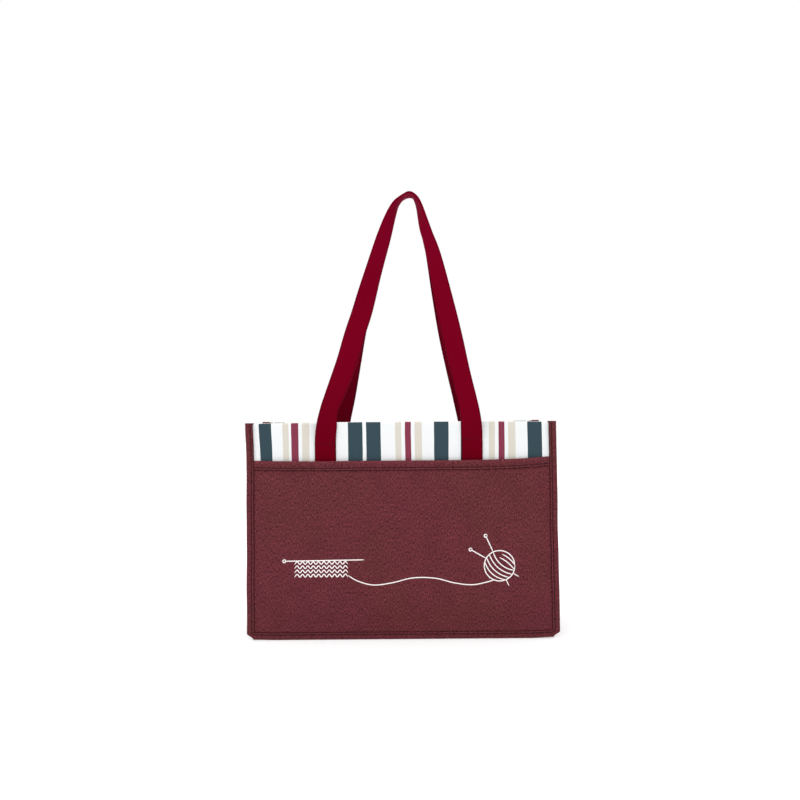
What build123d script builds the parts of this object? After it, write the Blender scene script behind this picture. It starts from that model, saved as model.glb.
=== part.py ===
from build123d import *

import os
from math import cos, radians, sin, sqrt

# A knitting bag: a stiffened tote with gusseted sides and base, a full-width slip pocket on each
# face and two webbing handles. Sizes are in millimetres.
#
# Frame: +X to the bag's right, +Y to its back, +Z up, origin on the floor under its centre.
# A level is a distance from the bag's middle plane towards one face, so front and back share it.
# The front and right-hand pieces are drawn, and their twins are mirror images.

# Driving dimensions
bag_width = 370.0  # over the side bindings
bag_height = 258.0  # floor to the top edge
seam_width = 9.5  # how far a bound seam stands out from the body
corner_cut = 7.0  # the cut across each bottom corner
tape = 0.8  # binding tape
felt = 1.2  # marled outer fabric of the pockets, gussets and base
canvas = 1.0  # striped outer panels
padding = 2.5  # stiffening in the front and back
side_padding = 2.0
board = 2.0
lining = 0.6
panel_level = 58.0  # outer face of the striped panels
facing_depth = 28.0  # how far the striped canvas turns down inside the mouth
pocket_height = 212.0  # top edge of the pockets
pocket_room = 5.6  # how far an empty pocket stands off its panel
pocket_slope = 7.5  # width of the slope up to the pocket's crown
pocket_tape_drop = 10.6  # depth of the tape along the pocket's mouth
webbing_width = 25.0
webbing = 2.0
webbing_gap = 0.3  # between the webbing and the panel behind it
bend_height = 240.0  # the cross stitching where a handle starts to swing
bend_gap = 0.4  # between the sewn end and the loop that swings
handle_end_height = 186.0  # lower end of the sewn webbing, inside the pocket
lean_start = 282.0  # height where the webbing starts to lean in over the mouth
apex_level = 13.2  # the handles lean in to this level at their tops
twist_start = 385.0  # height where the webbing starts to turn on edge
quarter_turn = 90.0
sections_per_leg = 16

# Worked out from the driving dimensions
loop_foot = bend_height + bend_gap  # where the free loops begin
half_width = bag_width / 2
body_half = half_width - seam_width  # outer face of the gussets
body_bottom = seam_width  # outer face of the base
cloth_half = half_width - tape  # edge of every layer inside a side binding
cloth_cut = corner_cut - tape * (2 - sqrt(2))  # leaves the tape its thickness along the cut
seam_front = panel_level + felt + tape
panel_back = panel_level - canvas
allowance_back = panel_back - felt  # inner face of the gusset's and base's seam allowances
seam_back = allowance_back - tape
inner_side = body_half - felt
lined_side = inner_side - side_padding
clear_side = lined_side - lining
padding_back = panel_back - padding
lining_back = padding_back - lining
board_bottom = body_bottom + felt
board_top = board_bottom + board
floor_top = board_top + lining
facing_bottom = bag_height - facing_depth
webbing_back = panel_level + webbing_gap
webbing_level = webbing_back + webbing / 2

# Centrelines of the handles' legs, across the bag and up, each from its foot to the top.
front_left_leg = [(-90.5, loop_foot), (-79, 290), (-32.4, 453), (-12.6, 517), (11.5, 543.5)]
front_right_leg = [(84, loop_foot), (75.5, 290), (45, 453), (29, 517), (11.5, 543.5)]
back_left_leg = [(-83, loop_foot), (-76, 290), (-32.5, 462), (-12.5, 521), (11.5, 550.5)]
back_right_leg = [(92, loop_foot), (83, 290), (46, 462), (29, 521), (11.5, 550.5)]

upright = (Align.CENTER, Align.MIN)
outward = (Align.MIN, Align.CENTER)


def save(part, name):
    part.label = name
    export_step(part, f"parts/{name}.step")


def save_front_and_back(part, name):
    save(part, f"front_{name}")
    save(mirror(part, about=Plane.XZ), f"back_{name}")


def save_left_and_right(part, name):
    save(part, f"right_{name}")
    save(mirror(part, about=Plane.YZ), f"left_{name}")


def draw_sheet(edge, bottom, top, cut):
    """Outline of a full-width sheet whose two bottom corners are cut off."""
    right_side = [(edge - cut, bottom), (edge, bottom + cut), (edge, top)]
    left_side = [(-x, z) for x, z in reversed(right_side)]
    Polygon(*right_side, *left_side, align=None)


def draw_upright(width, bottom, top, centre=0):
    """A rectangle standing on the height bottom."""
    with Locations((centre, bottom)):
        Rectangle(width, top - bottom, align=upright)


def front_panel():
    """Striped canvas, turned over the top edge to face the inside of the mouth."""
    with BuildPart() as panel:
        with BuildSketch(Plane.XZ.offset(panel_back)):
            draw_sheet(cloth_half, tape, bag_height, cloth_cut)
        extrude(amount=canvas)
        with BuildSketch(Plane.XZ.offset(lining_back)):
            draw_upright(2 * inner_side, bag_height - canvas, bag_height)
        extrude(amount=panel_back - lining_back)
        with BuildSketch(Plane.XZ.offset(lining_back)):
            draw_upright(2 * lined_side, facing_bottom, bag_height - canvas)
        extrude(amount=lining)
    return panel.part


def crown_block(shift, top):
    """The block between the panel and a pocket's crown, grown outwards by shift."""
    rim_half = body_half - felt + 2 * shift
    rim_bottom = body_bottom + felt - 2 * shift
    crown_half = body_half - felt - pocket_slope + shift
    crown_bottom = body_bottom + felt + pocket_slope - shift
    with BuildPart() as block:
        with BuildSketch(Plane.XZ.offset(panel_level)):
            draw_upright(2 * rim_half, rim_bottom, top)
        with BuildSketch(Plane.XZ.offset(panel_level + pocket_room + shift)):
            draw_upright(2 * crown_half, crown_bottom, top)
        loft(ruled=True)
    return block.part


def front_pocket():
    """Marled fabric, sewn in on three sides and standing off the panel between them."""
    outside = crown_block(felt, pocket_height)
    room = crown_block(0, pocket_height)
    with BuildPart() as pocket:
        with BuildSketch(Plane.XZ.offset(panel_level)):
            draw_sheet(cloth_half, tape, pocket_height, cloth_cut)
        extrude(amount=felt)
        add(outside)
        add(room, mode=Mode.SUBTRACT)
    return pocket.part


def front_pocket_binding(pocket):
    """Tape folded over the pocket's mouth, between the side bindings."""
    mouth_top = pocket_height + tape
    outside = crown_block(felt + tape, mouth_top)
    room = crown_block(-tape, mouth_top)
    with BuildPart() as binding:
        with BuildSketch(Plane.XZ.offset(panel_level)):
            draw_upright(2 * body_half, pocket_height - pocket_tape_drop, mouth_top)
        extrude(amount=2 * pocket_slope)
        add(outside, mode=Mode.INTERSECT)
        add(room, mode=Mode.SUBTRACT)
        add(pocket, mode=Mode.SUBTRACT)
    return binding.part


def right_binding():
    """Tape folded round the front's right-hand seam and round the cut corner below it."""
    with BuildPart() as binding:
        with BuildSketch(Plane.XZ.offset(seam_back)):
            draw_sheet(half_width, 0, bag_height, corner_cut)
        extrude(amount=seam_front - seam_back)
        with BuildSketch(Plane.XZ.offset(allowance_back)):
            draw_sheet(cloth_half, tape, bag_height, cloth_cut)
        extrude(amount=seam_front - tape - allowance_back, mode=Mode.SUBTRACT)
        with BuildSketch(Plane.XZ.offset(seam_back)):
            draw_upright(seam_width, 0, bag_height, body_half + seam_width / 2)
        extrude(amount=seam_front - seam_back, mode=Mode.INTERSECT)
    return binding.part


def base_binding():
    """Tape folded round the front's bottom seam; the bag stands on it."""
    with BuildPart() as binding:
        with BuildSketch(Plane.XZ.offset(seam_back)):
            draw_upright(2 * body_half, 0, body_bottom)
        extrude(amount=seam_front - seam_back)
        with BuildSketch(Plane.XZ.offset(allowance_back)):
            draw_upright(2 * body_half, tape, body_bottom)
        extrude(amount=seam_front - tape - allowance_back, mode=Mode.SUBTRACT)
    return binding.part


def front_layer(half, bottom, top, back, front):
    """A plain rectangular layer of the front, between two levels."""
    with BuildPart() as layer:
        with BuildSketch(Plane.XZ.offset(back)):
            draw_upright(2 * half, bottom, top)
        extrude(amount=front - back)
    return layer.part


def right_gusset():
    """Marled fabric whose long edges turn out into the seams, hemmed in over the mouth."""
    allowance_middle = (allowance_back + panel_back) / 2
    with BuildPart() as gusset:
        with BuildSketch(Plane.XY.offset(body_bottom)):
            with Locations((inner_side, 0)):
                Rectangle(felt, 2 * panel_back, align=outward)
            with Locations((inner_side, allowance_middle), (inner_side, -allowance_middle)):
                Rectangle(cloth_half - inner_side, felt, align=outward)
        extrude(amount=bag_height - body_bottom)
        with BuildSketch(Plane.XY.offset(bag_height - felt)):
            with Locations((clear_side, 0)):
                Rectangle(inner_side - clear_side, 2 * lining_back, align=outward)
        extrude(amount=felt)
    return gusset.part


def right_layer(inner, outer, depth):
    """A plain upright layer inside the right-hand gusset."""
    with BuildPart() as layer:
        with BuildSketch(Plane.XY.offset(board_top)):
            with Locations((inner, 0)):
                Rectangle(outer - inner, 2 * depth, align=outward)
        extrude(amount=bag_height - felt - board_top)
    return layer.part


def base_layer(half, depth, bottom, top):
    """A plain flat layer in the base."""
    with BuildPart() as layer:
        with BuildSketch(Plane.XY.offset(bottom)):
            Rectangle(2 * half, 2 * depth)
        extrude(amount=top - bottom)
    return layer.part


def base_panel():
    """Marled fabric under the bag, whose long edges turn down into the seams."""
    with BuildPart() as base:
        with BuildSketch(Plane.XY.offset(body_bottom)):
            Rectangle(2 * inner_side, 2 * panel_back)
        extrude(amount=felt)
        allowance_middle = (allowance_back + panel_back) / 2
        with BuildSketch(Plane.XY.offset(tape)):
            with Locations((0, allowance_middle), (0, -allowance_middle)):
                Rectangle(2 * inner_side, felt)
        extrude(amount=body_bottom - tape)
    return base.part


def handle_end(x):
    """The webbing sewn down on the front panel at one foot of a handle."""
    with BuildPart() as foot:
        with BuildSketch(Plane.XZ.offset(webbing_back)):
            draw_upright(webbing_width, handle_end_height, bend_height, x)
        extrude(amount=webbing)
    return foot.part


def share_between(value, low, high):
    return min(max((value - low) / (high - low), 0), 1)


def handle_section(spot, along, side, hand, top):
    """Plane of the webbing's cross section: its x runs along the webbing's width.

    Side is -1 on the front and 1 on the back, and hand is -1 on a left leg and 1 on a right one.
    The webbing leans in over the mouth, and its outer edge turns towards its own face.
    """
    level = webbing_level + (apex_level - webbing_level) * share_between(spot.Z, lean_start, top)
    turn = radians(quarter_turn * share_between(spot.Z, twist_start, top))
    outer_edge = Vector(along.Z, 0, -along.X) * hand
    width_way = outer_edge * cos(turn) + Vector(0, side, 0) * sin(turn)
    return Plane(origin=(spot.X, side * level, spot.Z), x_dir=width_way, z_dir=along)


def handle_loop(left_leg, right_leg, side):
    """The free webbing of a handle: flat at its feet and on edge where it turns over at the top."""
    top = left_leg[-1][1]
    with BuildPart() as strap:
        for leg, hand in ((left_leg, -1), (right_leg, 1)):
            points = [(x, 0, z) for x, z in leg]
            centre = Spline(*points, tangents=[(0, 0, 1), (-hand, 0, 0)], mode=Mode.PRIVATE)
            for i in range(sections_per_leg + 1):
                share = i / sections_per_leg
                section = handle_section(centre @ share, centre % share, side, hand, top)
                with BuildSketch(section):
                    Rectangle(webbing_width, webbing)
            loft(ruled=True)
    return strap.part


os.makedirs("parts", exist_ok=True)

pocket = front_pocket()
binding = right_binding()
save_front_and_back(front_panel(), "panel")
save_front_and_back(pocket, "pocket")
save_front_and_back(front_pocket_binding(pocket), "pocket_binding")
save_front_and_back(binding, "right_binding")
save_front_and_back(mirror(binding, about=Plane.YZ), "left_binding")
save_front_and_back(base_binding(), "base_binding")
stiffening = front_layer(inner_side, board_bottom, bag_height - canvas, padding_back, panel_back)
save_front_and_back(stiffening, "padding")
save_front_and_back(front_layer(lined_side, board_top, facing_bottom, lining_back, padding_back), "lining")

save_left_and_right(right_gusset(), "gusset")
save_left_and_right(right_layer(lined_side, inner_side, padding_back), "gusset_padding")
save_left_and_right(right_layer(clear_side, lined_side, lining_back), "gusset_lining")

save(base_panel(), "base_panel")
save(base_layer(inner_side, padding_back, board_bottom, board_top), "base_board")
save(base_layer(clear_side, lining_back, board_top, floor_top), "base_lining")

save(handle_loop(front_left_leg, front_right_leg, -1), "front_handle_loop")
save(handle_loop(back_left_leg, back_right_leg, 1), "back_handle_loop")
for end, front_leg, back_leg in (
    ("left", front_left_leg, back_left_leg),
    ("right", front_right_leg, back_right_leg),
):
    save(handle_end(front_leg[0][0]), f"front_handle_{end}_end")
    save(mirror(handle_end(back_leg[0][0]), about=Plane.XZ), f"back_handle_{end}_end")
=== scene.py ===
import math

import bmesh
import bpy
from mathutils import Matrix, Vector, noise


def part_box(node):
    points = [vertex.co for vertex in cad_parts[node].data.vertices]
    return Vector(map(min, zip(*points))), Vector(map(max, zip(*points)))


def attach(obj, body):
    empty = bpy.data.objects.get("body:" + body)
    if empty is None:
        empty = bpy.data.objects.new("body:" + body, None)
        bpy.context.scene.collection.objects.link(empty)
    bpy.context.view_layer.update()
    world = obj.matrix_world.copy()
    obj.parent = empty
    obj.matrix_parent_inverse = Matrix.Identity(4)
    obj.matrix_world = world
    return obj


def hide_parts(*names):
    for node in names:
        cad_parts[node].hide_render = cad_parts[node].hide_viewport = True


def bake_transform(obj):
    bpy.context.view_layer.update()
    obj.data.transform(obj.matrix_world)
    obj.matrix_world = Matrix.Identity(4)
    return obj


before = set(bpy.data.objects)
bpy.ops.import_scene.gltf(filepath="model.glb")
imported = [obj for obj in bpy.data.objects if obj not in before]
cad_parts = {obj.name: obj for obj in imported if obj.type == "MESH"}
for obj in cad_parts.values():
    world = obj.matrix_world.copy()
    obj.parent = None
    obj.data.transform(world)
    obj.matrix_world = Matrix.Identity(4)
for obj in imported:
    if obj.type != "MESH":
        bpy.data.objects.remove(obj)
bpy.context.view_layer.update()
mm = 0.001
pi = math.pi
faces = {"front": -1, "back": 1}
hands = {"left": -1, "right": 1}

# what the frame says about the bag, all in metres from its middle planes and the floor
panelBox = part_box("front_panel")
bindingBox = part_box("front_right_binding")
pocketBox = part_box("front_pocket")
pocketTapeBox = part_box("front_pocket_binding")
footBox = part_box("front_handle_left_end")
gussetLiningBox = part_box("right_gusset_lining")
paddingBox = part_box("front_padding")
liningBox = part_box("front_lining")

top = panelBox[1].z
halfWidth = bindingBox[1].x
bodyHalf = bindingBox[0].x
seamFront = -bindingBox[0].y
seamBack = -bindingBox[1].y
panelLevel = -panelBox[0].y
foldLevel = -panelBox[1].y
paddingFront = -paddingBox[0].y
liningFront = -liningBox[0].y
clothEdge = panelBox[1].x
innerSide = paddingBox[1].x
pocketTop = pocketBox[1].z
crownLevel = -pocketBox[0].y
webLevel = -(footBox[0].y + footBox[1].y) / 2
webWidth = footBox[1].x - footBox[0].x
webThick = footBox[1].y - footBox[0].y
seamWidth = halfWidth - bodyHalf
clothFoot = 1 * mm  # the faces' cloth ends this far above the floor, inside the bottom tape

# the bag stands on white paper, lit softly from all round and more from above
cameraSet = {
    "distance": 975 * mm,  # from the bag's middle plane
    "height": 271 * mm,
    "lens": 34.6,
    "roll": 0.45,  # degrees
    "shiftX": -0.0014,
    "shiftY": 0.01475,
}
lightSet = {
    "wall": 1.0,
    "ceiling": 1.9,  # the studio's overhead light
    "ceilingFrom": 0.5,  # sines of the heights where that light starts and where it is full
    "ceilingFull": 0.8,
    "key": {"power": 4, "size": 0.7, "place": (-0.5, -0.8, 1.6)},
    "floorTone": 0.63,
    "floorGlow": 0.36,  # a lit table, so that the paper stays white round the bag
    "floorSize": 12,
}


def aimAt(thing, target):
    thing.rotation_euler = (Vector(target) - thing.location).to_track_quat("-Z", "Y").to_euler()


def makeCamera():
    camera = bpy.data.objects.new("camera", bpy.data.cameras.new("camera"))
    camera.data.lens = cameraSet["lens"]
    camera.data.shift_x = cameraSet["shiftX"]
    camera.data.shift_y = cameraSet["shiftY"]
    camera.data.clip_start = 0.01
    camera.location = (0, -cameraSet["distance"], cameraSet["height"])
    camera.rotation_euler = (pi / 2, math.radians(cameraSet["roll"]), 0)
    bpy.context.collection.objects.link(camera)
    bpy.context.scene.camera = camera


def makeLight(name, values):
    light = bpy.data.objects.new(name, bpy.data.lights.new(name, "AREA"))
    light.data.energy = values["power"]
    light.data.size = values["size"]
    light.location = values["place"]
    bpy.context.collection.objects.link(light)
    aimAt(light, (0, 0, top / 2))


def makeStage():
    world = bpy.data.worlds.new("studio")
    world.use_nodes = True
    tree = world.node_tree
    place = tree.nodes.new("ShaderNodeTexCoord")
    split = tree.nodes.new("ShaderNodeSeparateXYZ")
    rise = tree.nodes.new("ShaderNodeMapRange")
    tree.links.new(place.outputs["Generated"], split.inputs["Vector"])
    tree.links.new(split.outputs["Z"], rise.inputs["Value"])
    rise.inputs["From Min"].default_value = lightSet["ceilingFrom"]
    rise.inputs["From Max"].default_value = lightSet["ceilingFull"]
    rise.inputs["To Min"].default_value = lightSet["wall"]
    rise.inputs["To Max"].default_value = lightSet["ceiling"]
    tree.nodes["Background"].inputs["Color"].default_value = (1, 1, 1, 1)
    tree.links.new(rise.outputs["Result"], tree.nodes["Background"].inputs["Strength"])
    bpy.context.scene.world = world
    bpy.context.scene.view_settings.view_transform = "Standard"
    makeLight("key_light", lightSet["key"])
    bpy.ops.mesh.primitive_plane_add(size=lightSet["floorSize"], location=(0, 0, 0))
    floor = bpy.context.object
    floor.name = "floor"
    material = bpy.data.materials.new("floor_paper")
    material.use_nodes = True
    shader = material.node_tree.nodes["Principled BSDF"]
    tone = lightSet["floorTone"]
    shader.inputs["Base Color"].default_value = (tone, tone, tone, 1)
    shader.inputs["Roughness"].default_value = 0.9
    shader.inputs["Specular IOR Level"].default_value = 0.0
    shader.inputs["Emission Color"].default_value = (1, 1, 1, 1)
    shader.inputs["Emission Strength"].default_value = lightSet["floorGlow"]
    floor.data.materials.append(material)


makeCamera()
makeStage()
print("camera, floor and light are up")


def linear(rgb):
    # a colour as it is seen, 0 to 255, in the numbers that the shader takes
    def one(v):
        v /= 255
        return v / 12.92 if v <= 0.04045 else ((v + 0.055) / 1.055) ** 2.4
    return (*(one(v) for v in rgb), 1)


def shade(rgb, amount):
    return tuple(min(255, v * amount) for v in rgb)


def mixed(a, b, share):
    return tuple(u + (v - u) * share for u, v in zip(a, b))


class Nodes:  # short calls for building a material's node tree
    def __init__(self, name, roughness, specular):
        self.material = bpy.data.materials.new(name)
        self.material.use_nodes = True
        self.tree = self.material.node_tree
        self.shader = self.tree.nodes["Principled BSDF"]
        self.shader.inputs["Roughness"].default_value = roughness
        self.shader.inputs["Specular IOR Level"].default_value = specular
        self.uv = self.add("ShaderNodeUVMap").outputs["UV"]

    def add(self, kind, **inputs):
        node = self.tree.nodes.new(kind)
        for name, value in inputs.items():
            self.put(node.inputs[name.replace("_", " ")], value)
        return node

    def put(self, socket, value):
        if isinstance(value, bpy.types.NodeSocket):
            self.tree.links.new(value, socket)
        else:
            socket.default_value = value

    def scaled(self, across, along, turn=0.0):
        node = self.add("ShaderNodeMapping", Vector=self.uv)
        node.inputs["Scale"].default_value = (across, along, 1)
        node.inputs["Rotation"].default_value = (0, 0, math.radians(turn))
        return node.outputs["Vector"]

    def noise(self, where, detail=2.0, rough=0.5):
        node = self.add("ShaderNodeTexNoise", Vector=where, Scale=1.0, Detail=detail, Roughness=rough)
        return node.outputs["Fac"]

    def bands(self, where, direction):
        node = self.add("ShaderNodeTexWave", Vector=where, Scale=1.0, Distortion=0.0)
        node.wave_type = "BANDS"
        node.bands_direction = direction
        node.wave_profile = "SIN"
        return node.outputs["Fac"]

    def weave(self, scale):
        where = self.scaled(scale, scale)
        return self.math("MULTIPLY", self.bands(where, "X"), self.bands(where, "Y"))

    def math(self, operation, a, b=0.0):
        node = self.add("ShaderNodeMath")
        node.operation = operation
        self.put(node.inputs[0], a)
        self.put(node.inputs[1], b)
        return node.outputs["Value"]

    def ramp(self, value, stops, interpolation="LINEAR"):
        node = self.add("ShaderNodeValToRGB", Fac=value)
        ramp = node.color_ramp
        ramp.interpolation = interpolation
        while len(ramp.elements) < len(stops):
            ramp.elements.new(1.0)
        for element, (position, colour) in zip(ramp.elements, sorted(stops, key=lambda s: s[0])):
            element.position = position
            element.color = colour
        return node.outputs["Color"]

    def mix(self, share, a, b, blend="MIX"):
        node = self.add("ShaderNodeMix")
        node.data_type = "RGBA"
        node.blend_type = blend
        self.put(node.inputs["Factor"], share)
        self.put(node.inputs[6], a)
        self.put(node.inputs[7], b)
        return node.outputs[2]

    def finish(self, colour, height, strength, depth):
        self.put(self.shader.inputs["Base Color"], colour)
        bump = self.add("ShaderNodeBump", Height=height, Strength=strength, Distance=depth)
        self.put(self.shader.inputs["Normal"], bump.outputs["Normal"])
        return self.material


marlSet = {
    "wine": (80, 39, 42),
    "streak": {"across": 1.0 * mm, "along": 2.8 * mm, "contrast": 0.54},
    "fleck": {"size": 1.2 * mm, "lift": 1.8},
    "cloud": {"size": 24 * mm, "depth": 0.2},
    "drift": {"size": 110 * mm, "tint": (1.03, 0.95, 1.08)},  # the dye leans to purple in places
    "roughness": 0.92,
    "specular": 0.02,
    "relief": {"strength": 0.5, "depth": 0.25 * mm},
}
stripeSet = {
    "white": (222, 224, 225),
    "charcoal": (52, 69, 77),
    "beige": (202, 197, 186),
    "plum": (125, 54, 73),
    "wide": 17.4 * mm,
    "narrow": 7.9 * mm,
    "edgeWide": 14.4 * mm,  # the first charcoal stripe is drawn narrow into its seam
    "charcoalAt": (-163, -87.4, -55.8, -33.4, 46.7, 79.4, 158.1),  # mm from the middle
    "groupAt": (-127, 7.6, 118.9),  # each a plum stripe between two beige ones
    "groupPitch": 11.8 * mm,
    "plumShift": -0.6 * mm,
    "slant": 0.03,  # towards the left seam the stripes lean in on their way down
    "waver": 0.7 * mm,
    "waverScale": (12, 26),
    "weaveScale": 330,
    "roughness": 0.85,
    "specular": 0.04,
}
tapeSet = {
    "thick": 0.8 * mm,
    "step": 1.5 * mm,
    "stitchIn": 3.2 * mm,
    "dimple": 0.3 * mm,
    "dimpleReach": 0.9 * mm,
    "puff": 0.1 * mm,
    "turn": 4 * mm,  # what the fold round the edge takes up of the tape's width
    "tucked": (0.12, 0.45, 0.75, 0.93),  # how the tape's end opens, down from its top
    "tuckHeight": 0.9 * mm,
    "tone": 0.98,
    # how far across the tape the painted shadow, shade and highlight are spread
    "shadingSpan": 12 * mm,
}
webbingSet = {
    "crimson": (93, 2, 18),
    "sheenLit": (126, 3, 36),  # painted light and sheen: the webbing is drawn paler and pinker up the handle, where the leaning legs catch more light
    "reach": 0.37,  # from the top of a handle down to its foot
    "backShadeTone": 0.88,  # painted shade: the back handle's webbing is drawn darker, for the shade on its inner face
    "twillPitch": 1.3 * mm,
    "twillAngle": 38,
    "edge": 1.2 * mm,
    "edgeShade": 0.66,
    "wear": 0.25,
    "roughness": 0.7,
    "sheen": 0.5,
    "sheenRoughness": 0.25,
    "sheenTint": (1.0, 0.25, 0.45, 1),
}


def marlMaterial(name, tone=1.0):
    n = Nodes(name, marlSet["roughness"], marlSet["specular"])
    wine = shade(marlSet["wine"], tone)
    streak, fleck, cloud = marlSet["streak"], marlSet["fleck"], marlSet["cloud"]
    low = linear(shade(wine, 1 - streak["contrast"]))
    high = linear(shade(wine, 1 + streak["contrast"]))
    fibres = n.noise(n.scaled(1 / streak["across"], 1 / streak["along"]), 4.0, 0.7)
    flecks = n.noise(n.scaled(1 / fleck["size"], 0.8 / fleck["size"]), 1.0)
    clouds = n.noise(n.scaled(1 / cloud["size"], 0.7 / cloud["size"]), 3.0, 0.65)
    colour = n.ramp(fibres, [(0.34, low), (0.66, high)])
    pale = n.ramp(flecks, [(0.62, (0, 0, 0, 1)), (0.74, (0.6, 0.6, 0.6, 1))])
    colour = n.mix(pale, colour, linear(shade(wine, fleck["lift"])))
    dull = n.ramp(clouds, [(0.35, (0, 0, 0, 1)), (0.65, (1, 1, 1, 1))])
    colour = n.mix(n.math("MULTIPLY", dull, cloud["depth"]), colour, linear(shade(wine, 0.72)))
    drift = marlSet["drift"]
    spread = n.noise(n.scaled(1 / drift["size"], 1 / drift["size"]), 1.0)
    leaning = n.ramp(spread, [(0.4, (0, 0, 0, 1)), (0.6, (1, 1, 1, 1))])
    colour = n.mix(leaning, colour, (*drift["tint"], 1), "MULTIPLY")
    return n, colour, fibres


def plainMarl(name):
    n, colour, fibres = marlMaterial(name)
    return n.finish(colour, fibres, **marlSet["relief"])


def tapeMaterial(name):
    # the flat cloth starts at the tape's inner edge, so light and shade can be painted across it: a
    # painted shadow line at the inner edge, painted shade in the stitch groove and a painted highlight
    # towards the fold
    n, colour, fibres = marlMaterial(name, tapeSet["tone"])
    fromEdge = n.add("ShaderNodeSeparateXYZ", Vector=n.uv).outputs["X"]
    groove = tapeSet["stitchIn"] / tapeSet["shadingSpan"]
    shadeAndLight = [(0.0, 0.3), (0.06, 0.42), (0.1, 1.1), (groove - 0.07, 1.08), (groove - 0.03, 0.5)]
    shadeAndLight += [(groove + 0.03, 0.5), (groove + 0.07, 0.98), (0.62, 1.02), (0.8, 1.2)]
    brightest = 1.3  # the ramp holds shares of this, because its colours end at 1
    stops = [(at, (tone / brightest, tone / brightest, tone / brightest, 1)) for at, tone in shadeAndLight]
    paintedShading = n.ramp(n.math("DIVIDE", fromEdge, tapeSet["shadingSpan"]), stops)
    colour = n.mix(1.0, colour, paintedShading, "MULTIPLY")
    colour = n.mix(1.0, colour, (brightest, brightest, brightest, 1), "MULTIPLY")
    return n.finish(colour, fibres, **marlSet["relief"])


def stripedMaterial():
    st = stripeSet
    n = Nodes("striped_canvas", st["roughness"], st["specular"])
    span = 2 * halfWidth
    groups = [x * mm for x in st["groupAt"]]
    centres = {
        "charcoal": [x * mm for x in st["charcoalAt"]],
        "plum": [x + st["plumShift"] for x in groups],
        "beige": [x + side * st["groupPitch"] for x in groups for side in (-1, 1)],
    }
    split = n.add("ShaderNodeSeparateXYZ", Vector=n.uv)
    across, along = split.outputs["X"], split.outputs["Y"]
    leftShare = n.math("MAXIMUM", n.math("DIVIDE", across, -halfWidth), 0.0)
    drop = n.math("MAXIMUM", n.math("SUBTRACT", top, along), 0.0)
    lean = n.math("MULTIPLY", n.math("MULTIPLY", n.math("POWER", leftShare, 2), drop), st["slant"])
    wander = n.math("SUBTRACT", n.noise(n.scaled(*st["waverScale"]), 1.0), 0.5)
    place = n.math("ADD", n.math("SUBTRACT", across, lean), n.math("MULTIPLY", wander, 2 * st["waver"]))
    share = n.math("ADD", n.math("DIVIDE", place, span), 0.5)
    colour = linear(st["white"])
    for name, width in (("charcoal", st["wide"]), ("plum", st["narrow"]), ("beige", st["narrow"])):
        stops = [(0.0, (0, 0, 0, 1))]
        for x in centres[name]:
            half = st["edgeWide"] / 2 if x == min(centres["charcoal"]) else width / 2
            stops.append(((x - half) / span + 0.5, (1, 1, 1, 1)))
            stops.append(((x + half) / span + 0.5, (0, 0, 0, 1)))
        colour = n.mix(n.ramp(share, stops, "CONSTANT"), colour, linear(st[name]))
    weave = n.weave(st["weaveScale"])
    threads = n.ramp(weave, [(0, (0.6, 0.6, 0.6, 1)), (1, (1, 1, 1, 1))])
    colour = n.mix(0.05, colour, threads, "MULTIPLY")
    return n.finish(colour, weave, 0.35, 0.1 * mm)


def webbingMaterial(name, tone):
    w = webbingSet
    n = Nodes(name, w["roughness"], 0.0)
    crimson = shade(w["crimson"], tone)
    sheenLit = shade(w["sheenLit"], tone)
    pitch = w["twillPitch"]
    twill = n.bands(n.scaled(0.32 / pitch, 0.32 / pitch, w["twillAngle"]), "X")
    split = n.add("ShaderNodeSeparateXYZ", Vector=n.uv)
    across = split.outputs["X"]
    fromTop = n.math("DIVIDE", n.math("ABSOLUTE", split.outputs["Y"]), w["reach"])
    fromEdge = n.math("SUBTRACT", webWidth / 2, n.math("ABSOLUTE", across))
    edgeShare = n.math("DIVIDE", fromEdge, 2 * w["edge"])
    edge = n.ramp(edgeShare, [(0.25, (1, 1, 1, 1)), (0.5, (0, 0, 0, 1))])
    picks = n.bands(n.scaled(0.001, 0.5 / pitch), "Y")
    wear = n.noise(n.scaled(70, 24), 3.0)
    # painted light and sheen: from the feet up to the top, the webbing is drawn towards the paler,
    # pinker colour
    sheenShares = ((0.1, 1), (0.35, 0.6), (0.8, 0.42), (0.93, 0))
    colour = n.ramp(fromTop, [(at, linear(mixed(crimson, sheenLit, share))) for at, share in sheenShares])
    grain = n.ramp(twill, [(0, (0.87, 0.87, 0.87, 1)), (1, (1, 1, 1, 1))])
    colour = n.mix(1.0, colour, grain, "MULTIPLY")
    colour = n.mix(n.math("MULTIPLY", wear, w["wear"]), colour, linear(shade(crimson, 1.12)))
    colour = n.mix(n.math("MULTIPLY", edge, 0.35), colour, linear(shade(crimson, w["edgeShade"])))
    n.shader.inputs["Sheen Weight"].default_value = w["sheen"]
    n.shader.inputs["Sheen Roughness"].default_value = w["sheenRoughness"]
    n.shader.inputs["Sheen Tint"].default_value = w["sheenTint"]
    return n.finish(colour, n.mix(edge, twill, picks), 0.3, 0.15 * mm)


def plainClothMaterial(name, colour, pitch, contrast):
    n = Nodes(name, 0.9, 0.1)
    slub = n.noise(n.scaled(90, 700), 2.0)
    low, high = linear(shade(colour, 1 - contrast)), linear(shade(colour, 1 + contrast))
    tint = n.ramp(slub, [(0.3, low), (0.7, high)])
    return n.finish(tint, n.weave(0.3 / pitch), 0.3, 0.12 * mm)


def threadMaterial(name, colour):
    n = Nodes(name, 0.6, 0.2)
    ply = n.bands(n.scaled(500, 900, 30), "X")
    tint = n.ramp(ply, [(0, linear(shade(colour, 0.8))), (1, linear(shade(colour, 1.15)))])
    return n.finish(tint, ply, 0.4, 0.1 * mm)


def inkMaterial():
    n = Nodes("white_print", 0.55, 0.25)
    cover = n.noise(n.scaled(900, 900), 3.0)
    tint = n.ramp(cover, [(0.25, linear((205, 190, 190))), (0.45, linear((240, 236, 234)))])
    return n.finish(tint, cover, 0.15, 0.05 * mm)


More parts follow.
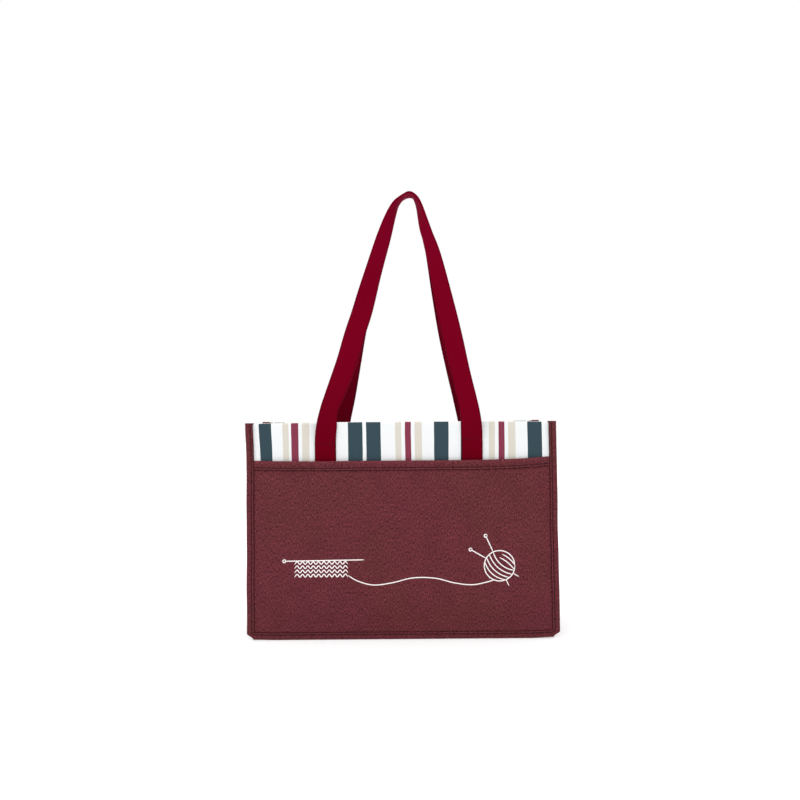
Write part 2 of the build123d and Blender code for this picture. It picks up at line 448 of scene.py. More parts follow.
finishes = {
    "marl": plainMarl("wine_marl"),
    "tape": tapeMaterial("binding_tape"),
    "striped": stripedMaterial(),
    "front_webbing": webbingMaterial("crimson_webbing", 1.0),
    # the back handle's copy of the webbing is darkened: painted shade
    "back_webbing": webbingMaterial("shaded_crimson_webbing", webbingSet["backShadeTone"]),
    "lining": plainClothMaterial("lining_cloth", (206, 199, 184), 0.6 * mm, 0.05),
    "foam": plainClothMaterial("padding_foam", (222, 221, 216), 1.5 * mm, 0.03),
    "board": plainClothMaterial("base_board", (70, 70, 74), 1.2 * mm, 0.08),
    "darkThread": threadMaterial("dark_thread", (40, 8, 15)),
    "redThread": threadMaterial("red_thread", (36, 0, 5)),
    "paleThread": threadMaterial("pale_thread", (190, 186, 176)),
    "ink": inkMaterial(),
}
print("materials are mixed")

# how the filled cloth settles, the same for every layer
settleSet = {
    "flareLeft": 1.3 * mm,
    "flareRight": 3.0 * mm,
    "gussetDip": 5.0 * mm,
    "faceBulge": 1.6 * mm,
    "topArch": {-1: 1.1 * mm, 1: -1.0 * mm},  # the front's top edge bows up and the back's sags
    "topSpread": 1.1 * mm,
    "cornerLift": {-1: 0.6 * mm, 1: 1.2 * mm},
    "liftFrom": 26 * mm,  # how far in from the side seams the bottom edge starts to rise
    "ripple": 0.5 * mm,
    "edgeWander": 0.45 * mm,
    "fadeAbove": 50 * mm,
}


def smooth(t):
    t = min(max(t, 0), 1)
    return t * t * (3 - 2 * t)


def settle(p):
    s = settleSet
    fade = 1 - smooth((p.z - top) / s["fadeAbove"])
    up = min(max(p.z / top, 0), 1)
    acrossShare = min(abs(p.x) / bodyHalf, 1)
    depthShare = min(abs(p.y) / panelLevel, 1)
    hand = 1 if p.x > 0 else -1
    flare = s["flareRight"] if p.x > 0 else s["flareLeft"]
    dx = hand * flare * (1 - up) ** 1.3 * min(abs(p.x) / halfWidth, 1)
    if hand < 0:
        dx -= s["topSpread"] * smooth(up * 6 - 5) * acrossShare**6
    dx -= hand * s["gussetDip"] * smooth(up) * (1 - depthShare**2) * acrossShare**6
    dx += s["edgeWander"] * noise.noise(Vector((hand * 3.1, 0.7, p.z * 26))) * acrossShare**8
    side = 1 if p.y > 0 else -1
    middle = (1 - acrossShare**2) * depthShare**4
    dy = side * s["faceBulge"] * math.sin(pi * up) * middle
    dy += s["ripple"] * noise.noise(Vector((p.x * 11, side * 5.3, p.z * 9))) * middle * min(up * 4, 1)
    dz = s["topArch"][side] * depthShare * (1 - acrossShare**2) * smooth(up * 3 - 2) * fade
    nearSeam = (abs(p.x) - bodyHalf + s["liftFrom"]) / s["liftFrom"]
    dz += s["cornerLift"][hand] * smooth(nearSeam) * (1 - up) ** 8
    return Vector((p.x + dx * fade, p.y + dy * fade, p.z + dz))


def newPiece(name, verts, quads, uvs, finish, settled=True):
    if settled:
        verts = [settle(Vector(v)) for v in verts]
    mesh = bpy.data.meshes.new(name)
    mesh.from_pydata(verts, [], quads)
    layer = mesh.uv_layers.new(name="UVMap")
    for loop in mesh.loops:
        layer.data[loop.index].uv = uvs[loop.vertex_index]
    mesh.polygons.foreach_set("use_smooth", [True] * len(mesh.polygons))
    mesh.materials.append(finishes[finish])
    mesh.validate()
    piece = bpy.data.objects.new(name, mesh)
    bpy.context.collection.objects.link(piece)
    return piece


def fixNormals(piece):
    work = bmesh.new()
    work.from_mesh(piece.data)
    bmesh.ops.recalc_face_normals(work, faces=work.faces)
    work.to_mesh(piece.data)
    work.free()
    return piece


def clothShell(name, columns, rows, point, thickness, finish):
    # a sheet with rounded edges: point(u, v) gives a middle point and its place on the flat cloth
    middle, flat = [], []
    for j in range(rows + 1):
        for i in range(columns + 1):
            where, cloth = point(i / columns, j / rows)
            middle.append(Vector(where))
            flat.append(cloth)
    wide = columns + 1

    def at(i, j):
        return middle[min(max(j, 0), rows) * wide + min(max(i, 0), columns)]

    verts, uvs, quads = [], [], []
    for side in (0.5, -0.5):
        for j in range(rows + 1):
            for i in range(wide):
                normal = (at(i + 1, j) - at(i - 1, j)).cross(at(i, j + 1) - at(i, j - 1)).normalized()
                verts.append(at(i, j) + normal * thickness * side)
                uvs.append(flat[j * wide + i])
    back = wide * (rows + 1)
    for j in range(rows):
        for i in range(columns):
            a = j * wide + i
            quads.append((a, a + 1, a + 1 + wide, a + wide))
            quads.append((back + a + wide, back + a + 1 + wide, back + a + 1, back + a))
    rim = [(i, 0) for i in range(columns)] + [(columns, j) for j in range(rows)]
    rim += [(i, rows) for i in range(columns, 0, -1)] + [(0, j) for j in range(rows, 0, -1)]
    first = len(verts)
    for i, j in rim:
        inner = at(i + (i == 0) - (i == columns), j + (j == 0) - (j == rows))
        outward = (at(i, j) - inner).normalized()
        verts.append(at(i, j) + outward * thickness * 0.5)
        uvs.append(flat[j * wide + i])
    for k, (i, j) in enumerate(rim):
        nextI, nextJ = rim[(k + 1) % len(rim)]
        a, b = j * wide + i, nextJ * wide + nextI
        ra, rb = first + k, first + (k + 1) % len(rim)
        quads.append((b, a, ra, rb))
        quads.append((rb, ra, back + a, back + b))
    return fixNormals(newPiece(name, verts, quads, uvs, finish))


def sweptLoop(name, rings, uvRings, finish, settled=True):
    # a closed outline carried along a line, with filled ends
    count = len(rings[0])
    verts = [p for ring in rings for p in ring]
    uvs = [uv for ring in uvRings for uv in ring]
    quads = []
    for j in range(len(rings) - 1):
        for i in range(count):
            a, b = j * count + i, j * count + (i + 1) % count
            quads.append((a, b, b + count, a + count))
    last = (len(rings) - 1) * count
    quads += [tuple(range(count)), tuple(range(last, last + count))]
    return fixNormals(newPiece(name, verts, quads, uvs, finish, settled))


def ends(a, b, steps):
    return [a + (b - a) * k / steps for k in range(steps + 1)]


def hold(piece, body, slotName, *nodes):
    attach(piece, body)
    if nodes:
        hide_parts(*nodes)
    return piece


cornerSet = {"cut": 8 * mm, "height": 7.5 * mm, "turn": 12 * mm}


def seamEdge(z):
    # how far the bound edge stands from the middle: straight, then round the cut bottom corner
    return halfWidth - cornerSet["cut"] * smooth(1 - z / cornerSet["height"])


def edgeAt(z):
    # half the width of a full sheet, which ends inside the tape
    return seamEdge(z) - (halfWidth - clothEdge) - 0.5 * mm


panelSet = {
    "canvas": 1.0 * mm,
    "columns": 120,
    "rows": 60,
    "inset": 0.4 * mm,  # how far short of the pocket's edge the panel's ends, inside the tape
    "facingInset": 0.6 * mm,  # how far clear of the sides' linings the turned part stands
    "turnWithin": 3 * mm,
    "duck": 1.1 * mm,  # how far the top corners duck under the side tapes' ends
}


def panelPath():
    # across the thickness and up, from the bottom outside, over the mouth's edge and down inside
    outer = panelLevel - panelSet["canvas"] / 2
    inner = foldLevel + panelSet["canvas"] / 2
    edge = top - panelSet["canvas"] / 2
    bend = (outer - inner) / 2
    middle, crest = (outer + inner) / 2, edge - bend
    path = [(outer, z) for z in ends(clothFoot, crest, panelSet["rows"])]
    path += [(middle + bend * math.cos(a), crest + bend * math.sin(a)) for a in ends(0, pi, 10)[1:]]
    return path + [(inner, z) for z in ends(crest, liningBox[1].z + 0.1 * mm, 8)[1:]]


def makePanel(face):
    side = faces[face]
    path = panelPath()
    run = [0]
    for a, b in zip(path, path[1:]):
        run.append(run[-1] + math.dist(a, b))
    foldStart = run[panelSet["rows"] + 1]
    facingInset = bodyHalf - gussetLiningBox[0].x + panelSet["facingInset"]

    def point(u, v):
        index = round(v * (len(path) - 1))
        level, z = path[index]
        tuck = smooth((run[index] - foldStart) / panelSet["turnWithin"])
        half = bodyHalf - panelSet["inset"] + (edgeAt(z) - bodyHalf) * (1 - tuck)
        half = half - facingInset * tuck
        x = half * (2 * u - 1)
        inTape = smooth((abs(x) - bodyHalf + 1 * mm) / (2 * mm))
        under = inTape * smooth((z - top + 20 * mm) / (15 * mm))
        return (x, side * level, z - panelSet["duck"] * under), (x, run[index])

    name = f"{face}_striped_panel"
    panel = clothShell(name, panelSet["columns"], len(path) - 1, point, panelSet["canvas"], "striped")
    return hold(panel, "bag", "striped_canvas", f"{face}_panel")


for face in faces:
    makePanel(face)
print("striped panels are folded")

pocketSet = {
    "felt": 1.2 * mm,
    "columns": 110,
    "rows": 70,
    "side": 26 * mm,  # how far in from the side seams the pocket is full
    "bottom": 40 * mm,
    "mouthSlack": 0.55,  # how full the mouth stands, and how full where it covers a handle's foot
    "overFoot": 0.85,
    "footReach": 19 * mm,
    "mouthLift": {"middle": -0.1 * mm, "left": 1.3 * mm, "right": 4.0 * mm},
}


def footCentre(node):
    low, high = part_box(node)
    return (low.x + high.x) / 2


feet = {face: [footCentre(f"{face}_handle_{hand}_end") for hand in hands] for face in faces}


def pocketLevel(face, x, z):
    # how far the pocket's middle stands from the bag's middle plane
    s = pocketSet
    flat = panelLevel + s["felt"] / 2
    full = crownLevel - s["felt"] / 2 - flat
    sides = smooth((bodyHalf - abs(x)) / s["side"])
    rise = smooth((z - seamWidth) / s["bottom"])
    overFoot = max(math.exp(-(((x - foot) / s["footReach"]) ** 2)) for foot in feet[face])
    ease = s["mouthSlack"] + (s["overFoot"] - s["mouthSlack"]) * overFoot
    mouth = 1 - (1 - ease) * smooth((z - 0.55 * pocketTop) / (0.4 * pocketTop))
    return flat + full * sides * rise * mouth


def mouthLift(x):
    # the mouth's edge dips in the middle and climbs to the right-hand seam
    s = pocketSet["mouthLift"]
    share = x / bodyHalf
    return s["middle"] + (s["right"] if share > 0 else s["left"]) * share**4


def makePocket(face):
    side = faces[face]
    s = pocketSet

    def point(u, v):
        z = clothFoot + (pocketTop - clothFoot) * v
        x = edgeAt(z) * (2 * u - 1)
        return (x, side * pocketLevel(face, x, z), z + mouthLift(x) * smooth(2 * v - 1)), (x, z)

    pocket = clothShell(f"{face}_slip_pocket", s["columns"], s["rows"], point, s["felt"], "marl")
    return hold(pocket, "bag", "marl_felt", f"{face}_pocket")


for face in faces:
    makePocket(face)
print("pockets are sewn")

stitchPitch = 3.1 * mm


def tapeRing(edge, inner, front, back, wrap, run):
    # outline of a tape folded round an edge: out along the front leg, round the edge, back behind
    thick = min(tapeSet["thick"], (front - back) * 0.3)
    reach = (inner - edge).length
    inward = (inner - edge).normalized()
    bend = min((front - back) / 2, reach * 0.45)
    centre = (front + back) / 2
    outer = []
    flat = ends(reach, bend, 8)
    puff = tapeSet["puff"] * noise.noise(Vector((run * 60, reach * 90, wrap)))
    for d in flat[:-1]:
        fromStitches = (d - reach + tapeSet["stitchIn"]) / tapeSet["dimpleReach"]
        press = tapeSet["dimple"] * math.exp(-(fromStitches**2))
        press *= 0.75 + 0.25 * math.cos(2 * pi * run / stitchPitch)
        outer.append((d, front - press + puff))
    for a in ends(0, pi, 10):
        outer.append((bend - bend * math.sin(a), centre + (front - back) / 2 * math.cos(a)))
    for d in reversed(flat[:-1]):
        outer.append((d, back))
    hollow = bend + thick * 0.6
    inside = [(reach, back + thick), (hollow, back + thick), (thick, centre)]
    inside += [(hollow, front - thick), (reach, front - thick)]
    return [(edge + inward * d, level) for d, level in outer + inside]


def foldedTape(name, stations, side, slotName, *nodes):
    # stations are (edge point, inner point, front level, back level), with points across and up
    rings, uvRings, run, before = [], [], 0, None
    for edge, inner, front, back in stations:
        middle = (edge + inner) / 2
        run += (middle - before).length if before is not None else 0
        before = middle
        ring = tapeRing(edge, inner, front, back, side, run)
        rings.append([(p.x, side * level, p.y) for p, level in ring])
        around = 0
        row = [(0, run)]
        for (a, la), (b, lb) in zip(ring, ring[1:]):
            around += math.hypot((b - a).length, lb - la)
            row.append((around, run))
        uvRings.append(row)
    tape = sweptLoop(name, rings, uvRings, "tape")
    return hold(tape, "bag", slotName, *nodes)


def sideStations(hand):
    # down the bag's edge, then round the cut corner
    turn = cornerSet["turn"]
    outer, inner = hand * halfWidth, hand * bodyHalf
    middle = (seamFront + seamBack) / 2
    half = (seamFront - seamBack) / 2
    stations = []
    for t in tapeSet["tucked"]:
        z = top + (1 - t) * tapeSet["tuckHeight"]
        swell = half * math.sin(pi / 2 * t)
        stations.append((Vector((outer, z)), Vector((inner, z)), middle + swell, middle - swell))
    for z in ends(top, turn, round((top - turn) / tapeSet["step"])):
        stations.append((Vector((outer, z)), Vector((inner, z)), seamFront, seamBack))
    for t in ends(0, 1, 12)[1:]:
        z = turn * (1 - t)
        innerPoint = Vector((inner, turn - (turn - seamWidth) * t))
        stations.append((Vector((hand * seamEdge(z), z)), innerPoint, seamFront, seamBack))
    return stations


def baseStations():
    count = round(2 * bodyHalf / tapeSet["step"])
    reach = bodyHalf + 1 * mm
    spots = ends(-reach, reach, count)
    return [(Vector((x, 0)), Vector((x, seamWidth)), seamFront, seamBack) for x in spots]


def mouthStations(face):
    count = round(2 * bodyHalf / tapeSet["step"])
    rim = pocketTapeBox[1].z
    hem = pocketTapeBox[0].z
    stations = []
    for x in ends(-bodyHalf, bodyHalf, count):
        level = pocketLevel(face, x, pocketTop)
        half = pocketSet["felt"] / 2 + tapeSet["thick"]
        lift = mouthLift(x)
        stations.append((Vector((x, rim + lift)), Vector((x, hem + lift)), level + half, level - half))
    return stations


for face, side in faces.items():
    tapes = [(f"{hand}_seam", hand, sideStations(sign)) for hand, sign in hands.items()]
    tapes += [("base_seam", "base", baseStations()), ("pocket", "pocket", mouthStations(face))]
    for name, seam, stations in tapes:
        foldedTape(f"{face}_{name}_tape", stations, side, "binding_tape", f"{face}_{seam}_binding")
print("seams are bound")

gussetSet = {
    "felt": 1.2 * mm,
    "columns": 40,
    "rows": 80,
    "bend": 1.4 * mm,
    "short": 2.0 * mm,  # how far the seam allowance ends inside its tape
}
baseSet = {"columns": 80, "rows": 30, "ripple": 0.25 * mm}
layerSet = {"columns": 60, "rows": 40, "unevenness": 0.12 * mm}


def makeGusset(hand):
    sign = hands[hand]
    half = gussetSet["felt"] / 2
    outer = bodyHalf - half
    inner = gussetLiningBox[0].x
    bend = gussetSet["bend"]
    allowance = paddingFront - half
    centre, crest = outer - bend, top - half - bend
    rise = [(outer, z) for z in ends(seamWidth + half, crest, gussetSet["rows"])]
    rise += [(centre + bend * math.cos(a), crest + bend * math.sin(a)) for a in ends(0, pi / 2, 5)[1:]]
    rise += [(x, top - half) for x in ends(centre, inner, 3)[1:]]
    # each station: its depth, how far the seam allowance stands out, and that on the flat cloth
    wing = seamWidth - gussetSet["short"]
    run = [(-allowance, wing * (1 - t), -wing * (1 - t)) for t in (0, 0.5)]
    run += [(y, 0, 0) for y in ends(-allowance, allowance, gussetSet["columns"])]
    run += [(allowance, wing * t, wing * t) for t in (0.5, 1)]

    def point(u, v):
        y, out, extra = run[round(u * (len(run) - 1))]
        x, z = rise[round(v * (len(rise) - 1))]
        turned = smooth((outer - x) / (2 * mm))
        y = y * (1 - turned * (1 - liningFront / allowance))
        return (sign * (x + out * (1 - turned)), y, z), (y + extra, z + outer - x)

    name = f"{hand}_side_gusset"
    gusset = clothShell(name, len(run) - 1, len(rise) - 1, point, gussetSet["felt"], "marl")
    return hold(gusset, "bag", "marl_felt", f"{hand}_gusset")


def makeBase():
    half = gussetSet["felt"] / 2
    allowance = paddingFront - half
    level = seamWidth + half
    drops = (seamWidth - gussetSet["felt"], seamWidth / 2)
    run = [(-allowance, level - drop) for drop in drops]
    run += [(y, level) for y in ends(-allowance, allowance, baseSet["rows"])]
    run += [(allowance, level - drop) for drop in reversed(drops)]

    def point(u, v):
        y, z = run[round(v * (len(run) - 1))]
        x = innerSide * (2 * u - 1)
        ripple = baseSet["ripple"] * noise.noise(Vector((x * 22, y * 22, 4))) if z == level else 0
        return (x, y, z - abs(ripple)), (x, y)

    base = clothShell("base_cloth", baseSet["columns"], len(run) - 1, point, gussetSet["felt"], "marl")
    return hold(base, "bag", "marl_felt", "base_panel")


def makeLayer(name, node, thin, finish):
    # a flat layer that fills its node's box; thin is the axis that it is thin along
    low, high = (Vector(v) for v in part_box(node))
    size = high - low
    centre = (low + high) / 2
    wide, tall = (axis for axis in range(3) if axis != thin)
    soft = layerSet["unevenness"] if finish == "lining" else 0

    def point(u, v):
        p = centre.copy()
        p[wide] = low[wide] + size[wide] * u
        p[tall] = low[tall] + size[tall] * v
        p[thin] += soft * noise.noise(p * 30)
        return tuple(p), (p[wide], p[tall])

    layer = clothShell(name, layerSet["columns"], layerSet["rows"], point, size[thin], finish)
    if finish == "lining":
        return hold(layer, "bag", "lining_cloth", node)
    return hold(layer, "bag", "padding_foam", node)


for hand in hands:
    makeGusset(hand)
    makeLayer(f"{hand}_side_padding", f"{hand}_gusset_padding", 0, "foam")
    makeLayer(f"{hand}_side_lining", f"{hand}_gusset_lining", 0, "lining")
for face in faces:
    makeLayer(f"{face}_pad", f"{face}_padding", 1, "foam")
    makeLayer(f"{face}_inner_cloth", f"{face}_lining", 1, "lining")
makeBase()
makeLayer("floor_cloth", "base_lining", 2, "lining")
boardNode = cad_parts["base_board"]
boardNode.data.materials.clear()
boardNode.data.materials.append(finishes["board"])
print("gussets, base, padding and lining are in")

handleSet = {
    "step": 0.55 * mm,
    "pick": 2.2 * mm,  # spacing of the bumps along the selvedge
    "bump": 0.25 * mm,
    "thinning": 0.16,  # how much thinner the webbing is at its edges
    "body": 0.965,  # the share of its width inside the selvedge's round edge
    "apexLevel": 13.2 * mm,
    "leanFrom": 258 * mm,
    "clearUntil": 60 * mm,  # above the mouth
    "foldFrom": -1.5 * mm,  # two heights, from the row of cross stitches
    "foldTo": 6 * mm,
}
# each station is across, up and how far the webbing has turned, in millimetres and degrees
handleRoutes = {
    "front": [
        (-90.5, 187, 0), (-90.5, 215, 0), (-90.2, 240, 4), (-85.6, 272, 38), (-79, 292, 30),
        (-66.3, 328, 10), (-55.7, 365, 9), (-46.4, 394, 14), (-34, 439, 37), (-19.5, 488, 51),
        (-8.4, 521, 70), (0.5, 535.5, 86), (12.6, 543, 94), (22.2, 532.5, 82), (29.8, 504, 66),
        (34.5, 488, 62), (41.8, 462, 50), (52.3, 413, 35), (62.4, 365, 24), (71.7, 319, 29),
        (77.8, 290, 31), (82.4, 264, 24), (84, 240, 2), (84, 215, 0), (84, 187, 0),
    ],
    "back": [
        (-83, 187, 0), (-83, 215, 0), (-83, 240, 0), (-80.2, 262, 1), (-73.4, 292, 6),
        (-66.8, 324, 15), (-56.5, 373, 30), (-48.5, 404, 36), (-36.2, 449, 46), (-20.4, 498, 57),
        (-8.7, 530, 76), (0.5, 543, 88), (12.6, 550, 92), (25, 543, 84), (29, 531, 75),
        (35, 498, 59), (42, 473, 49), (51.2, 423, 38), (61.2, 373, 26), (73, 324, 15),
        (81.2, 292, 9), (88.2, 262, 2), (92, 240, 0), (92, 215, 0), (92, 187, 0),
    ],
}


def curveThrough(stations, step):
    # a smooth line through the stations, at even steps
    fine = []
    padded = [stations[0], *stations, stations[-1]]
    for k in range(1, len(padded) - 2):
        p0, p1, p2, p3 = (Vector(padded[k + d]) for d in (-1, 0, 1, 2))
        square = 2 * p0 - 5 * p1 + 4 * p2 - p3
        cube = 3 * p1 - p0 - 3 * p2 + p3
        for t in ends(0, 1, 40)[:-1]:
            fine.append(0.5 * (2 * p1 + (p2 - p0) * t + square * t**2 + cube * t**3))
    fine.append(Vector(stations[-1]))
    length = [0]
    for a, b in zip(fine, fine[1:]):
        length.append(length[-1] + math.hypot(b.x - a.x, b.y - a.y))
    count = round(length[-1] / step)
    line, k = [], 0
    for i in range(count + 1):
        want = length[-1] * i / count
        while k < len(length) - 2 and length[k + 1] < want:
            k += 1
        t = (want - length[k]) / max(length[k + 1] - length[k], 1e-9)
        line.append(fine[k].lerp(fine[k + 1], min(t, 1)))
    return line, length[-1]


def handleLevel(z, apex):
    # how far a handle stands from the bag's middle plane: it leans in towards the other one
    s = handleSet
    lean = min(max((z - s["leanFrom"]) / (apex - s["leanFrom"]), 0), 1)
    eased = lean - 0.03 * math.sin(pi * min(lean * 4, 1))
    return webLevel + (s["apexLevel"] - webLevel) * eased


def webbingRing(centre, widthWay, thickWay, run):
    # the webbing's outline: one face, an edge, the other face and its edge
    s = handleSet
    ring, flat = [], []
    bump = s["bump"] * math.cos(2 * pi * run / s["pick"])
    half, deep = webWidth / 2, webThick / 2
    for way in (1, -1):
        for u in ends(-way, way, 10):
            crown = deep * (1 - s["thinning"] * abs(u) ** 6)
            ring.append(centre + widthWay * half * s["body"] * u + thickWay * way * crown)
            flat.append((half * u, run))
        ring.append(centre + widthWay * (way * half + bump))
        flat.append((way * half, run))
    return ring, flat


def makeHandle(face):
    side = faces[face]
    s = handleSet
    stations = [(x * mm, z * mm, turn) for x, z, turn in handleRoutes[face]]
    line, length = curveThrough(stations, s["step"])
    apex = max(p.y for p in line)
    middle = []
    for p in line:
        # beside the bag the webbing turns about its inner edge, so that it clears the panel
        beside = 1 - smooth((p.y - top) / s["clearUntil"])
        clear = webWidth / 2 * math.sin(math.radians(p.z)) * beside
        middle.append(settle(Vector((p.x, side * (handleLevel(p.y, apex) + clear), p.y))))
    rings, uvRings = [], []
    for k, centre in enumerate(middle):
        before, after = middle[max(k - 3, 0)], middle[min(k + 3, len(middle) - 1)]
        along = (after - before).normalized()
        outward = Vector((-along.z, 0, along.x)).normalized()
        turn = math.radians(line[k].z)
        widthWay = outward * math.cos(turn) + Vector((0, side, 0)) * math.sin(turn)
        widthWay = (widthWay - along * along.dot(widthWay)).normalized()
        thickWay = along.cross(widthWay)
        ring, flat = webbingRing(centre, widthWay, thickWay, k * s["step"] - length / 2)
        rings.append(ring)
        uvRings.append(flat)
    strap = sweptLoop(f"{face}_strap", rings, uvRings, f"{face}_webbing", settled=False)
    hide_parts(f"{face}_handle_loop", f"{face}_handle_left_end", f"{face}_handle_right_end")
    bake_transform(strap)
    return strap


for face in faces:
    makeHandle(face)
print("handles are on")

stitchSet = {
    "length": 2.1 * mm,
    "thread": 0.46 * mm,
    "sides": 6,
    "rings": 5,
    "flatness": 0.8,
    "arch": 0.35,  # how far a stitch bows out of the cloth, in shares of the thread
    "crossHeight": {"left": 233 * mm, "right": 237.5 * mm},
    "crossInset": 2 * mm,
    "hemDrop": 9 * mm,
    "facingInset": 2.5 * mm,
}


def addStitch(verts, quads, uvs, middle, along, outward):
    s = stitchSet
    sides, rings = s["sides"], s["rings"]
    across = along.cross(outward).normalized()
    first = len(verts)
    for t in ends(-1, 1, rings - 1):
        thick = s["thread"] * max(1 - t * t, 0.06) ** 0.5
        centre = middle + along * t * s["length"] / 2 + outward * s["thread"] * s["arch"] * (1 - t * t)
        for a in ends(0, 2 * pi, sides)[:-1]:
            spoke = outward * math.sin(a) * thick * s["flatness"] + across * math.cos(a) * thick
            verts.append(centre + spoke)
            uvs.append((t * s["length"] / 2, a * s["thread"]))
    for j in range(rings - 1):
        for i in range(sides):
            a, b = first + j * sides + i, first + j * sides + (i + 1) % sides
            quads.append((a, b, b + sides, a + sides))
    last = first + (rings - 1) * sides
    quads += [tuple(range(first, first + sides)), tuple(range(last, last + sides))]


def stitchRow(verts, quads, uvs, line, outward):
    # evenly pitched stitches along straight or gently bent points
    for a, b in zip(line, line[1:]):
        count = max(round((b - a).length / stitchPitch), 1)
        for k in range(count):
            along = (b - a).normalized()
            addStitch(verts, quads, uvs, a.lerp(b, (k + 0.5) / count), along, outward)


def makeSewing(name, rows, finish, slotName):
    verts, quads, uvs = [], [], []
    for line, outward in rows:
        stitchRow(verts, quads, uvs, line, outward)
    return hold(fixNormals(newPiece(name, verts, quads, uvs, finish)), "bag", slotName)


def bindingRows(side):
    # both legs of the side and bottom tapes
    inset = tapeSet["stitchIn"]
    out = Vector((0, side, 0))
    rows = []
    for level, way in ((seamFront - 0.1 * mm, out), (seamBack + 0.05 * mm, -out)):
        for sign in hands.values():
            x = sign * (bodyHalf + inset)
            rows.append(([Vector((x, side * level, z)) for z in (8 * mm, top - 1 * mm)], way))
        z = seamWidth - inset
        rows.append(([Vector((x, side * level, z)) for x in (-bodyHalf, bodyHalf)], way))
    return rows


def mouthRow(face, side):
    z = pocketTapeBox[0].z + tapeSet["stitchIn"]
    level = pocketSet["felt"] / 2 + tapeSet["thick"] - tapeSet["dimple"] * 0.5
    row = []
    for x in ends(-bodyHalf + 2 * mm, bodyHalf - 2 * mm, 38):
        row.append(Vector((x, side * (pocketLevel(face, x, pocketTop) + level), z + mouthLift(x))))
    return [(row, Vector((0, side, 0)))]


def hemRows(hand):
    # a row across the top of each gusset
    sign = hands[hand]
    z = top - stitchSet["hemDrop"]
    depth = paddingFront - 2 * mm
    row = [Vector((sign * (bodyHalf - 0.1 * mm), y, z)) for y in ends(-depth, depth, 12)]
    return [(row, Vector((sign, 0, 0)))]


def facingRow(side):
    # a row along the facing's lower edge, inside the mouth
    z = liningBox[1].z + stitchSet["facingInset"]
    half = gussetLiningBox[0].x - 4 * mm
    row = [Vector((x, side * (foldLevel + 0.1 * mm), z)) for x in ends(-half, half, 30)]
    return [(row, Vector((0, -side, 0)))]


def crossRows(face, side):
    # a row across each foot of a handle
    level = webLevel + webThick / 2 - 0.05 * mm
    reach = webWidth / 2 - stitchSet["crossInset"]
    rows = []
    for foot, z in zip(feet[face], stitchSet["crossHeight"].values()):
        row = [Vector((x, side * level, z)) for x in (foot - reach, foot + reach)]
        rows.append((row, Vector((0, side, 0))))
    return rows


for face, side in faces.items():
    makeSewing(f"{face}_seam_stitching", bindingRows(side), "darkThread", "binding_tape")
    makeSewing(f"{face}_pocket_stitching", mouthRow(face, side), "darkThread", "binding_tape")
    makeSewing(f"{face}_handle_stitching", crossRows(face, side), "redThread", "handle_webbing")
    makeSewing(f"{face}_facing_stitching", facingRow(side), "paleThread", "lining_cloth")
for hand in hands:
    makeSewing(f"{hand}_hem_stitching", hemRows(hand), "darkThread", "marl_felt")
print("stitching is done")

# the printed motif is some knitting on its needle, with a strand that runs to a ball of yarn
motifSet = {
    "line": 1.3 * mm,
    "film": 0.12 * mm,
    "step": 0.8 * mm,
    "rows": (93, 88, 83, 78),
    "rowsFrom": -127,
    "rowsTo": -64,
    "zigzags": 10,
    "zigzagHeight": 3.4,
    "needle": ((-139, 95.2), (-45, 96.4)),
    "strand": (
        (-64, 78), (-52, 71), (-34, 66.5), (-12, 69), (12, 74.5),
        (38, 74), (62, 68), (84, 66), (107.5, 71.2),
    ),
    "ball": (114, 88),
    "ballRadius": 18,
    "ballNeedles": (150, 114),  # degrees, to each knob
}


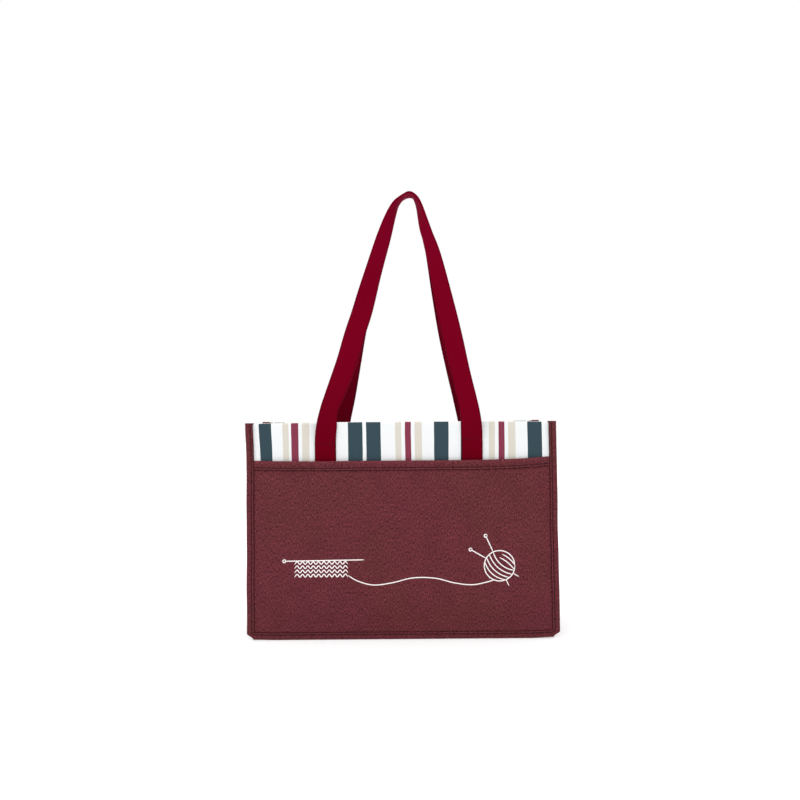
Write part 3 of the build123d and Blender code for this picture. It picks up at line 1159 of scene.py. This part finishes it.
def printedLine(verts, quads, uvs, points, width):
    # a flat film of ink that follows the pocket's face
    line = curveThrough([(x * mm, z * mm, 0) for x, z in points], motifSet["step"])[0]
    first = len(verts)
    for k, p in enumerate(line):
        before, after = line[max(k - 1, 0)], line[min(k + 1, len(line) - 1)]
        along = Vector((after.x - before.x, after.y - before.y)).normalized()
        across = Vector((-along.y, along.x)) * width / 2
        taper = min(1, 0.45 + min(k, len(line) - 1 - k) * 0.12)
        for share, lift in ((-1, 0), (-0.6, 1), (0.6, 1), (1, 0)):
            x, z = p.x + across.x * share * taper, p.y + across.y * share * taper
            level = pocketLevel("front", x, z) + pocketSet["felt"] / 2 + lift * motifSet["film"]
            verts.append(Vector((x, -level, z)))
            uvs.append((share * width, k * motifSet["step"]))
    for k in range(len(line) - 1):
        for i in range(4):
            a, b = first + k * 4 + i, first + k * 4 + (i + 1) % 4
            quads.append((a, b, b + 4, a + 4))
    last = first + (len(line) - 1) * 4
    quads += [tuple(first + i for i in range(4)), tuple(last + i for i in range(4))]


def dot(x, z, radius):
    return [(x + radius * math.cos(a), z + radius * math.sin(a)) for a in ends(0, 2 * pi, 12)]


def windings(x, z, radius, heading, offsets, bulge, reach):
    # yarn laid round a ball: bowed lines side by side, from rim to rim or part of the way
    n = Vector((math.cos(heading), math.sin(heading)))
    m = Vector((-n.y, n.x))
    lines = []
    for offset in offsets:
        half = math.sqrt(1 - offset**2)
        spots = [n * (offset + bulge * (1 - t * t)) + m * t * half for t in ends(-1, reach, 8)]
        lines.append([(x + radius * p.x, z + radius * p.y) for p in spots])
    return lines


def needle(tail, tip):
    (x0, z0), (x1, z1) = tail, tip
    return [[(x0, z0), ((x0 + x1) / 2, (z0 + z1) / 2), (x1, z1)], dot(x0, z0, 1.8)]


def motifLines():
    s = motifSet
    lines = []
    up = s["zigzagHeight"] / 2
    for z in s["rows"]:
        spots = enumerate(ends(s["rowsFrom"], s["rowsTo"], 2 * s["zigzags"]))
        lines.append([(x, z + (up if k % 2 else -up)) for k, x in spots])
    lines += needle(*s["needle"])
    lines.append(list(s["strand"]))
    x, z = s["ball"]
    r = s["ballRadius"]
    lines.append(dot(x, z, r))
    lines += windings(x, z, r, math.radians(228), (-0.4, -0.12, 0.16, 0.44), 0.28, 1)
    lines += windings(x, z, r, math.radians(58), (0.28, 0.55), 0.2, 0.3)
    for degrees in s["ballNeedles"]:
        way = Vector((math.cos(math.radians(degrees)), math.sin(math.radians(degrees))))
        knob, rim, out, tip = (Vector((x, z)) + way * d for d in (r + 21, r, -r, -r - 8))
        lines += needle(knob, rim)
        lines.append([tuple(out), tuple((out + tip) / 2), tuple(tip)])
    return lines


def makeMotif():
    verts, quads, uvs = [], [], []
    for line in motifLines():
        printedLine(verts, quads, uvs, line, motifSet["line"])
    motif = newPiece("front_printed_yarn", verts, quads, uvs, "ink")
    return hold(fixNormals(motif), "bag", "marl_felt")


makeMotif()
print("motif is printed")
